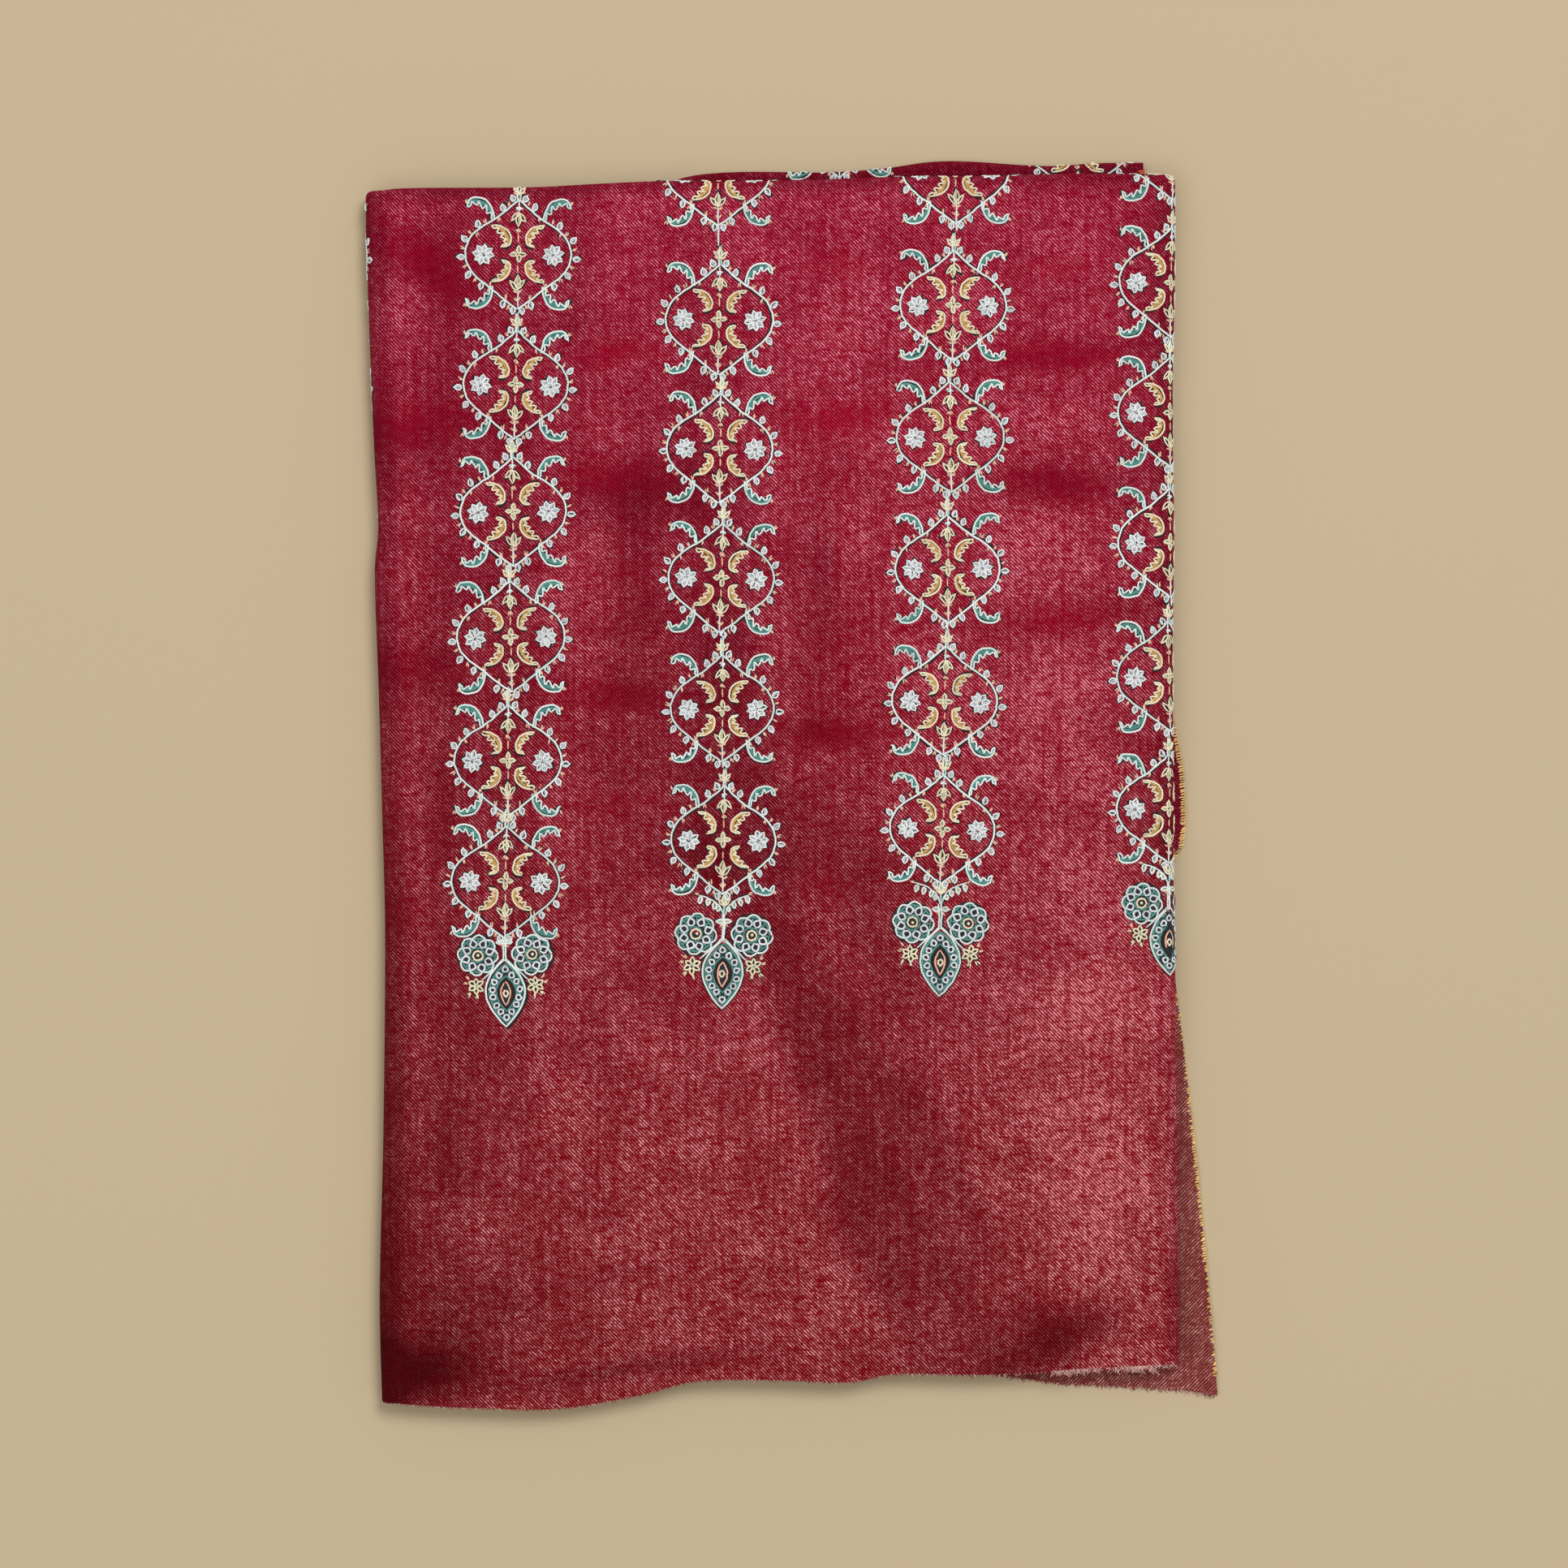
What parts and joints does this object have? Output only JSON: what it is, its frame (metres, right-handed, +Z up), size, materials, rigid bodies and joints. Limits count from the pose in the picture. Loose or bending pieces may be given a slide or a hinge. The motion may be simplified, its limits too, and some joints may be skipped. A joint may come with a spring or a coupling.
{
  "type": "folded pashmina shawl",
  "caption": "Embroidered twill-woven shawl folded into a flat packet, with stripes of floral vine embroidery and overcast selvedges, resting on a table.",
  "frame": {"origin": "centre of the packet's underside, on the table", "axes": "+X to the right fold, +Y from the raw hems to the top fold, +Z up from the table through the embroidered face"},
  "size_m": [0.3515, 0.5145, 0.0135],
  "materials": {
    "crimson_twill_face": "soft wool twill, crimson warp with fine pale pink weft lines, slight sheen",
    "crimson_twill_shaded": "soft wool twill, face side, deep crimson",
    "twill_wrong_side": "soft wool twill, wrong side, rose brown",
    "crimson_twill_layers": "edges of folded wool twill",
    "embroidery_thread": "fine satin-stitch and stem-stitch thread in ice white, teal, gold and peach",
    "selvedge_thread": "gold overcast stitching along the cloth's edge"
  },
  "bodies": {
    "root": {"front_panel": "crimson_twill_face", "rear_fold": "crimson_twill_shaded", "back_panel": "twill_wrong_side", "hidden_layers": "crimson_twill_layers"}
  },
  "joints": []
}
